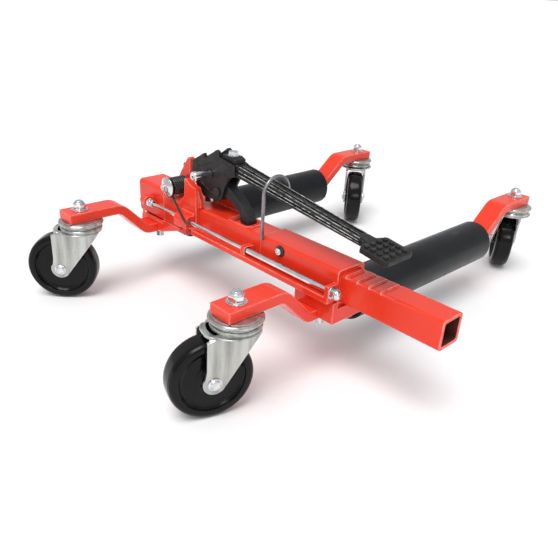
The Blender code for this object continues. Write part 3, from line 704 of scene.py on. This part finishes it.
def make_lever():
    outline = fillet([(-90, 219), (-62, 235.6), (-58, 227.5), (-50.5, 234.5), (-33, 246.4), (-28.5, 244.5),
                      (-26, 236.5), (-12, 235.7), (8, 232.8), (8, 217), (-4, 213), (-14, 196), (-20, 178), (-26, 173),
                      (-40, 172), (-63, 171), (-82, 186), (-91, 204)],
                     [1, 0.7, 1.2, 1.5, 1, 0.8, 1.5, 4, 0.6, 0.6, 4, 8, 5, 3, 4, 6, 8, 5], 4)
    slot = [(-42, 155), (-42, 199), (-30, 200.5), (-8, 212), (4, 215), (20, 215), (20, 155)]
    panel = fillet([(-80, 205), (-66, 190), (-44, 182), (-30, 184), (-18, 203), (-6, 218), (4, 221), (4, 226),
                    (-26, 229), (-44, 226), (-58, 220), (-76, 214)], 3, 4)
    panels = [prism(panel, "y", -16, -12.2), prism(panel, "y", 12.2, 16)]
    # two plain fins stand up behind the clamp, with a trough between their side walls
    trough = prism([(-86, 225), (-60, 229), (-50, 230), (-27, 240), (-27, 252), (-86, 252)], "y", -7.5, 7.5)
    block = prism(fillet([(-63, 161.5), (-33, 169.5), (-33, 190), (-63, 188)], [1.4, 1.4, 0, 0], 3), "y", -10, 10)
    piece("lever_head_look", prism(outline, "y", -13, 13), IRON, "lever", "lever_head", bevel=0.55,
          join=[block], cut=[prism(slot, "y", -8.4, 8.4), *panels, trough,
                             drill(5.35, -20, 20, PIVOT, "y"), drill(4.35, -20, 20, PAWL_AXIS, "y")])

    clamp = fillet([(-24, 237.0), (-12, 236.1), (6, 233.4), (6, 239), (-1, 242), (-24, 242)],
                   [0.8, 0, 0.8, 1.2, 1.5, 1.5], 3)
    piece("clamp_block_look", prism(clamp, "y", -9, 9), IRON, "lever", "clamp_block", bevel=0.6)
    piece("clamp_washer", washer(2.0, 8.2, 242.1, 243.3, 0.3, (-10, 0)), BRIGHT, "lever")
    piece("clamp_bolt_look", nut_mesh(7.2, 243.2, 248.0, (-10, 0)), BRIGHT, "lever", "clamp_bolt")
    screw = [(3.5, -10.2), (3.5, -11.6), (3.2, -12.3), (2.4, -12.8), (1.0, -13.0)]
    piece("dog_screw_look", lathe(screw, (-45, 169.8), "y", 32), BRIGHT, "lever", "dog_screw",
          cut=[box((-48, -42), (-14, -12.2), (169.3, 170.3))])

    stations = [8.3, 8.9] + [8.9 + (239.4 - 8.9) * k / 30 for k in range(1, 30)] + [239.4, 240]
    piece("lever_bar_look", loops_mesh([bar_section(x) for x in stations]), RIBS, "lever", "lever_bar",
          cut=[drill(2.75, 3, 20, (BAIL_X, BAIL_Z), "y")], bevel=0.35, segments=2, angle=28)

    # crests of the ribs, painted pale as a highlight: (y, share of the section's height below the top, width)
    crests = []
    for y, share, wide in ((-8.9, 0.0, 1.3), (8.9, 0.0, 1.3), (-2.5, 0.0, 0.5), (-10.55, 0.32, 0.8),
                           (-10.55, 0.66, 0.7), (10.55, 0.26, 0.8)):
        rows = []
        for k in range(24):
            x = 14 + 9.5 * k
            z = bar_top(x) - share * (bar_top(x) - (BAR_LOW[0] - 0.113 * (x - BAR_X[0])))
            w, h = (wide / 2, 0.16) if share == 0 else (0.16, wide / 2)
            rows.append([(x, y + w, z + h), (x, y - w, z + h), (x, y - w, z - h), (x, y + w, z - h)])
        crests.append(loops_mesh(rows))
    piece("lever_bar_crests", gather(*crests), CREST_PAINT, "lever")

    # pedal pad, built flat and tilted with the bar
    tilt = Matrix.Translation((BAR_X[1], 0, bar_top(BAR_X[1]))) @ Matrix.Rotation(atan2(BAR_SLOPE, 1), 4, "Y")
    plan = fillet([(1.4, -10.5), (7, -25.5), (47, -25.5), (47, 25.5), (7, 25.5), (1.4, 10.5)],
                  [1, 3, 4.5, 4.5, 3, 1], 5)
    inner = fillet([(6.5, -8), (9.5, -22.5), (44, -22.5), (44, 22.5), (9.5, 22.5), (6.5, 8)], [1, 2, 3, 3, 2, 1], 4)
    piece("pedal_pad_look", prism(plan, "z", -7.0, 0.0), IRON, "lever", "pedal_pad", bevel=0.9, matrix=tilt,
          cut=[prism(inner, "z", -9.0, -4.2)])
    neck = loops_mesh([[(x, y, z) for y, z in fillet([(-w, -7.0), (w, -7.0), (w * 0.9, t), (-w * 0.9, t)], 0.8, 3)]
                       for x, w, t in ((-14, 8.5, 0.5), (-4, 9.2, 0.9), (4, 10.5, 1.0), (8.5, 12, 0.3))])
    piece("pedal_neck", neck, IRON, "lever", matrix=tilt, bevel=0.4)
    stud = [(3.5, -1.0), (3.45, 0.3), (3.2, 1.5), (2.7, 2.0), (1.9, 2.1), (1.5, 1.5), (0.8, 1.2)]
    studs = [lathe(stud, (10.5 + 9.6 * i, -17.4 + 11.6 * j), "z", 24) for i in range(4) for j in range(4)]
    piece("pedal_studs", gather(*studs), IRON, "lever", matrix=tilt)

    pawl = fillet(circle(PAWL_AXIS, 9, 13, 265, -180) +
                  [(-22, 200.5), (-18.5, 201.3), (-8, 195), (8, 184.6), (25, 172.8), (31, 166), (33.5, 158),
                   (33.5, 152.8), (17, 152.8), (16.8, 160), (14.8, 164.8), (6.8, 171), (-7.8, 178), (-20, 180)],
                  [0] * 13 + [3, 3, 20, 20, 12, 10, 8, 0.8, 0.8, 6, 6, 12, 14, 6], 4)
    piece("drive_pawl_look", prism(pawl, "y", -8, 8), PAWL, "pawl", "drive_pawl", bevel=0.8,
          cut=[drill(4.35, -20, 20, PAWL_AXIS, "y")])
    pin = fillet([(5.0, -16.0), (6.2, -15.4), (6.2, -13.3), (4.0, -13.3), (4.0, 13.3), (5.6, 13.3), (5.6, 14.6),
                  (4.8, 15.0)], 0.25, 2, False)
    piece("pawl_pin_look", lathe(pin, PAWL_AXIS, "y", 40), PAWL, "lever", "pawl_pin")


def make_wires():
    centre_y, centre_z, bend = -5.0, 214.5, 22.4
    points = [(BAIL_X, centre_y - bend, 153.5 + 6.1 * k) for k in range(10)]
    for k in range(25):
        a = radians(180 - 7.2 * k)
        points.append((BAIL_X, centre_y + bend * cos(a), centre_z + bend * sin(a)))
    points += [(BAIL_X, 17.0, 215.9), (BAIL_X, 16.0, 215.6), (BAIL_X, 12, BAIL_Z), (BAIL_X, 4.0, BAIL_Z)]
    radii = [0.72, 0.96] + [1.0] * (len(points) - 2)
    points = [points[0]] + [(BAIL_X, centre_y - bend, 154.6)] + points[1:]
    wire("bail_wire_look", points, 2.4, WIRE, "bail", "bail_wire", radii=radii + [1.0], resolution=8)

    turns, per_turn, pitch = 7, 28, 3.9
    points = []
    for k in range(turns * per_turn + 1):
        a = radians(-60 + 360 * k / per_turn)
        points.append((COIL_AXIS[0] + COIL_R * cos(a), -0.6 - COIL_WIRE - pitch * k / per_turn,
                       COIL_AXIS[1] + COIL_R * sin(a)))
    leg = [(-120.0, -29.6, 161.1), (-117.8, -31.0, 158.2), (-104.0, -35.3, 152.3), (-90.6, -39.1, 147.1),
           (-77.3, -42.9, 141.9), (-66, -46.1, 137.5), (-62, -46.4, 136.1), (-59.5, -45.2, 135.3),
           (-57.6, -42.0, 134.6)]
    points += [tuple(p) for p in smooth_path(leg, 6)[1:]]
    wire("torsion_spring_look", points, COIL_WIRE, SPRING, "frame_left", "torsion_spring", resolution=6)
    cone = fillet([(2.0, -41.8), (5.0, -41.6), (5.6, -41.0), (5.6, -39.8), (8.5, -38.9), (12.0, -37.2), (15.0, -35.2),
                   (15.2, -33.8), (14.0, -33.5), (5.0, -33.4), (5.0, 10.5)], 0.5, 3, False)
    piece("spring_bolt_look", lathe(cone, COIL_AXIS, "y", 64), CHROME, "frame_left", "spring_bolt")
    piece("spring_bolt_hex", nut_mesh(5.6, -43.6, -40.8, COIL_AXIS, "y", chamfer=0.7, phase=0.2), BRIGHT,
          "frame_left")
    knob = [(2.0, 12.4), (4.2, 12.6), (4.7, 13.6), (4.7, 18.0), (4.0, 19.4), (2.6, 20.2), (0.8, 20.4)]
    piece("stop_knob", lathe(knob, (-145, 194), "y", 32), SPRING, "frame_left")


# ---------------------------------------------------------------- carriage
def make_carriage_side():
    foot = fillet([(-34, 88), (24, 88), (24, 107.6), (-24.9, 107.6), (-24.9, 117.9), (-34, 117.9)],
                  [2, 2, 1.5, 0.8, 1.5, 2], 4)
    piece("right_socket_look", prism(foot, "x", 158, 225), RED, "carriage", "right_socket", bevel=0.9,
          cut=[arm_room(ARM_X)])
    web = [(36, -36), (66, -24.8), (222, -24.8), (222, -36)]
    piece("side_rail_look", box((-54, 222), (-43, -35), (118.5, 126.5)), RED, "carriage", "side_rail", bevel=0.9,
          join=[prism(web, "z", 118.5, 124.0), box((215.5, 222), (-43, -24.8), (120, 142))],
          cut=[drill(4.55, 200, 230, ROD_AXIS, "x")])
    eye = fillet([(-41.5, 126.6), (-24.6, 126.6), (-24.6, 139), (-41.5, 139)], [1, 0, 0, 4], 5)
    piece("rod_eye", prism(eye, "x", 57, 66), RED, "carriage", bevel=0.8,
          cut=[drill(4.5, 50, 70, ROD_AXIS, "x")])
    rod = [(2.4, -177.5), (3.0, -176.9), (3.0, 62), (4.2, 63.5), (4.2, 235.2), (3.4, 236)]
    piece("guide_rod_look", lathe(rod, ROD_AXIS, "x", 40), CHROME, "carriage", "guide_rod")
    piece("rod_nut_left_look", nut_mesh(7.4, -176.5, -169.6, ROD_AXIS, "x", 3.3, chamfer=0.8, phase=0.5), CHROME,
          "carriage", "rod_nut_left")
    lock = fillet([(3.3, -169.4), (6.0, -169.4), (6.0, -163.9), (5.5, -163.5), (3.3, -163.5)], 0.3, 2)
    piece("rod_nut_lock", lathe(lock, ROD_AXIS, "x", 48, True), BRIGHT, "carriage")
    piece("rod_nut_right_look", nut_mesh(7.9, 223.6, 229.8, ROD_AXIS, "x", 4.5, phase=0.3), CHROME,
          "carriage", "rod_nut_right")
    dome = [(4.5, 229.6), (6.9, 229.7), (7.0, 230.6), (6.5, 232.6), (5.3, 234.4), (3.6, 235.6), (1.5, 236.2)]
    piece("rod_nut_dome", lathe(dome, ROD_AXIS, "x", 40), CHROME, "carriage")
    piece("rod_washer", washer(4.5, 8.4, 222.3, 223.6, 0.3, ROD_AXIS, "x"), BRIGHT, "carriage")
    weld("weld_rail", [(66, -25.6, 124.9), (215, -25.6, 124.9)], 1.6, "carriage")
    weld("weld_lip", [(158.5, -25.6, 117.2), (224.5, -25.6, 117.2)], 1.6, "carriage")
    weld("weld_tab", [(214.8, -25.4, 126.0), (214.8, -25.4, 141.4)], 1.5, "carriage")


def arm_outline(points, radii):
    """The side view of a bent flat bar, from its middle line and the radii of its bends."""
    path = [Vector(p) for p in fillet(points, [0] + list(radii) + [0], 10, False)]
    left, right = [], []
    for k, p in enumerate(path):
        t = (path[min(k + 1, len(path) - 1)] - path[max(k - 1, 0)]).normalized()
        n = Vector((-t.y, t.x)) * ARM_THICK / 2
        left.append(tuple(p + n))
        right.append(tuple(p - n))
    return left + right[::-1]


def make_arms():
    near = arm_outline([(-177, PLATE_TOP - 7), (-92, PLATE_TOP - 7), (-49, BASE_TOP - 7),
                        (NEAR_TAB_Y, BASE_TOP - 7), (NEAR_TAB_Y, 64)], (22, 16, 8.0))
    far = arm_outline([(FAR_TAB_Y, 64), (FAR_TAB_Y, 91), (431, PLATE_TOP - 7), (515, PLATE_TOP - 7)], (16, 22))
    for side, x, body in (("left", -ARM_X, "frame_left"), ("right", ARM_X, "carriage")):
        bolts = [(x - ARM_BOLT_DX, ARM_BOLT_Y), (x + ARM_BOLT_DX, ARM_BOLT_Y)]
        for row, outline, stem in (("near", near, NEAR_STEM_Y), ("far", far, FAR_STEM_Y)):
            cuts = [drill(6.35, 120, 150, (x, stem), "z"), drill(8.35, 20, 400, (x, ROLLER_Z), "y")]
            if row == "near":
                cuts += [drill(4.35, 80, 96, at, "z", 24) for at in bolts]
            name = "%s_%s_arm" % (row, side)
            piece(name + "_look", prism(outline, "x", x - ARM_WIDTH / 2, x + ARM_WIDTH / 2), RED, body, name,
                  bevel=1.0, cut=cuts)
        for k, at in enumerate(bolts):
            name = "%s_arm_bolt_%d" % (side, k + 1)
            piece(name + "_look", nut_mesh(7.2, 74.6, 83.6, at, phase=0.4 * k), BRIGHT, body, name)
            piece(name + "_washer", washer(3.0, 8.2, 83.6, 85.2, 0.3, at, count=40), BRIGHT, body)
        y0, y1 = ROLLER_Y
        half = [(8.4, y0 + 2.2), (11.5, y0), (14.5, y0), (16, y0 + 1.6), (28.6, y0 + 1.6), (29.6, y0 + 0.4),
                (30.4, y0), (32.4, y0), (ROLLER_R - 0.3, y0 + 0.6), (ROLLER_R, y0 + 1.8)]
        flip = [(r, y0 + y1 - y) for r, y in half[::-1]]
        piece("%s_roller_look" % side, lathe(half + flip, (0, 0), "y", 128, True), ROLLER, "roller_" + side,
              "%s_roller" % side, matrix=Matrix.Translation((x, 0, ROLLER_Z)))
        axle = fillet([(6.4, 25.4), (8.0, 26.6), (8.0, 380.2), (6.8, 381.5)], 0.3, 2, False)
        piece("%s_axle_look" % side, lathe(axle, (x, ROLLER_Z), "y", 40), BRIGHT, body, "%s_axle" % side)


# ---------------------------------------------------------------- casters
def make_caster(tag, x, stem_y, direction):
    """One swivel caster in its own axes: stem on Z, wheel towards +X."""
    turn = Matrix.Translation((x, stem_y, 0)) @ Matrix.Rotation(radians(direction), 4, "Z")
    frame_body = "frame_left" if tag[1] == "l" else "carriage"
    fork_body, wheel_body = "caster_" + tag, "wheel_body_" + tag

    cup = fillet([(6.5, 128.7), (27.5, 128.7), (29.0, 127.9), (31.4, 127.9), (33, 126.0), (33, 123.9), (31.4, 122.3),
                  (28.0, 121.7), (6.5, 121.7)], [0, 1, 1, 1.4, 1.4, 1.4, 1.2, 0, 0], 4)
    piece("race_cup_%s_look" % tag, lathe(cup, (0, 0), "z", 96, True), ZINC, frame_body, "race_cup_" + tag, matrix=turn)

    # the fork is one pressed channel, trimmed to its side outline
    def section(at):
        pinch = 0.085 * max(0.0, 19.0 - at) + 0.02 * max(0.0, at - 30)
        outer, inner = 20.8 - pinch, 17.7 - pinch
        line = fillet([(-outer, 30), (-outer, 114), (outer, 114), (outer, 30)], [0, 5.5, 5.5, 0], 5)
        line += fillet([(inner, 30), (inner, 110.6), (-inner, 110.6), (-inner, 30)], [0, 2.6, 2.6, 0], 5)
        return [(at, y, z) for y, z in line]
    channel = loops_mesh([section(a) for a in (-30, -20, -10, 0, 10, 16, 18, 19.0, 20, 22, 26, 30, 36, 50)])
    side = fillet([(-26, 115), (-26.0, 107), (18.6, 47.5)], [0, 4, 0], 4, False)
    side += circle((TRAIL, WHEEL_R), 14.2, 23, -156, 172)
    side += fillet([(43.6, 60.5), (41.8, 70), (41.2, 115)], [3, 8, 0], 4, False)
    ring = fillet([(6.5, 112.0), (26.0, 112.0), (29.2, 113.0), (30.9, 114.4), (31.0, 117.0), (29.6, 118.8),
                   (28.2, 119.2), (27.8, 121.2), (6.5, 121.2)], [0, 0, 1.2, 1.2, 1.4, 1.0, 0.6, 0.8, 0], 3)
    # the pressed shoulder: its front corners are round at the top and run out square down the legs
    shoulder = []
    for z, r in ((107.6, 0.4), (108.3, 5), (109.3, 11), (110.6, 15.4), (112, 16), (120, 16)):
        arc = circle((41.3 - r, 21 - r), r, 9, 90, -90) + circle((41.3 - r, r - 21), r, 9, 0, -90)
        around = [(60, -30), (60, 30), (20, 30), (20, 21)] + arc + [(20, -21), (20, -30)]
        shoulder.append([(a, b, z) for a, b in around])
    piece("fork_%s_look" % tag, channel, ZINC, fork_body, "fork_" + tag, matrix=turn, bevel=0.45, segments=3,
          keep=[prism(side, "y", -40, 40)],
          cut=[loops_mesh(shoulder), drill(6.4, 100, 130, (0, 0), "z"), drill(5.4, -30, 30, (TRAIL, WHEEL_R), "y")])
    piece("fork_ring_" + tag, lathe(ring, (0, 0), "z", 96, True), ZINC, fork_body, matrix=turn)
    skirt = fillet([(7.0, 110.9), (31.5, 110.9), (33.6, 111.8), (33.6, 113.4), (31.5, 114.0), (7.0, 114.0)],
                   [0, 1, 0.9, 0.9, 1, 0], 3)
    piece("fork_skirt_" + tag, lathe(skirt, (3.4, 0), "z", 80, True), ZINC, fork_body, matrix=turn,
          cut=[drill(7.5, 100, 130, (0, 0), "z")])

    # wheel: hub, dished web with a raised ring, rim and crowned tread
    half = [(5.5, 16.6), (6.0, 17.1), (10.6, 17.1), (11.8, 16.0), (12.6, 12.0), (15.0, 9.8), (19.0, 9.0), (34.5, 8.6),
            (38.0, 9.6), (40.2, 12.2), (41.2, 14.4), (42.2, 15.0), (46.6, 15.0), (49.4, 14.0), (51.3, 11.8),
            (52.3, 8.2), (52.5, 4.0)]
    half = fillet(half, 0.7, 2, False)
    profile = half + [(r, -h) for r, h in half[::-1]]
    hub = turn @ Matrix.Translation((TRAIL, 0, WHEEL_R))
    piece("wheel_%s_look" % tag, lathe(profile, (0, 0), "y", 112, True), BLACK, wheel_body, "wheel_" + tag, matrix=hub)
    cap = [(8.4, 20.95), (8.4, 21.9), (7.6, 22.5), (6.8, 22.6), (6.4, 23.2), (5.6, 24.2), (4.2, 24.8), (2.4, 25.0),
           (0.8, 24.7)]
    shaft = [(5.0, -20.9), (5.0, 20.9)]
    piece("spindle_%s_look" % tag, lathe(shaft + cap, (0, 0), "y", 48), BRIGHT, fork_body, "spindle_" + tag, matrix=hub)
    piece("spindle_nut_" + tag, nut_mesh(8.2, -24.2, -20.9, (0, 0), "y", chamfer=0.8), BRIGHT, fork_body, matrix=hub)

    # stem: bolt, flat washer, spring washer, chamfered nut with its locking ring
    stem = [(9.0, 104.6), (9.6, 105.2), (9.6, 109.6), (9.0, 110.1), (6.0, 110.1), (6.0, 143.0), (5.9, 155.9),
            (5.2, 157.2), (4.6, 157.4)]
    piece("stem_bolt_%s_look" % tag, lathe(stem, (0, 0), "z", 40), BRIGHT, frame_body, "stem_bolt_" + tag, matrix=turn)
    piece("stem_washer_" + tag, washer(6.1, 12.6, 143.1, 144.7, count=56), BRIGHT, frame_body, matrix=turn)
    piece("stem_lock_" + tag, washer(6.1, 10.6, 144.8, 146.6, count=56), CHROME, frame_body, matrix=turn)
    nut = nut_mesh(10.3, 146.7, 153.0, (0, 0), "z", 6.05, chamfer=1.3)
    piece("stem_nut_" + tag, nut, CHROME, frame_body, matrix=turn)
    crown = fillet([(6.05, 152.7), (8.0, 152.7), (7.9, 154.2), (7.0, 155.4), (6.05, 155.4)], [0, 0, 0.6, 0.6, 0], 3)
    piece("stem_crown_" + tag, lathe(crown, (0, 0), "z", 48, True), BRIGHT, frame_body, matrix=turn)


def make_floor():
    half, cells = 60.0, 8
    steps = [half * (k / (cells / 2) - 1) for k in range(cells + 1)]
    bm = bmesh.new()
    rows = [[bm.verts.new((x, y, 0)) for x in steps] for y in steps]
    for j in range(cells):
        for i in range(cells):
            bm.faces.new((rows[j][i], rows[j][i + 1], rows[j + 1][i + 1], rows[j + 1][i]))
    mesh = bpy.data.meshes.new("floor")
    bm.to_mesh(mesh)
    bm.free()
    floor = bpy.data.objects.new("floor", mesh)
    floor.location.z = -0.0002
    mesh.materials.append(FLOOR)
    bpy.context.scene.collection.objects.link(floor)


set_camera()
set_light()
make_floor()
make_beam()
make_left_frame()
make_lever()
make_wires()
make_carriage_side()
make_arms()
for tag, (stem_x, stem_y, heading) in CASTERS.items():
    make_caster(tag, stem_x, stem_y, heading)
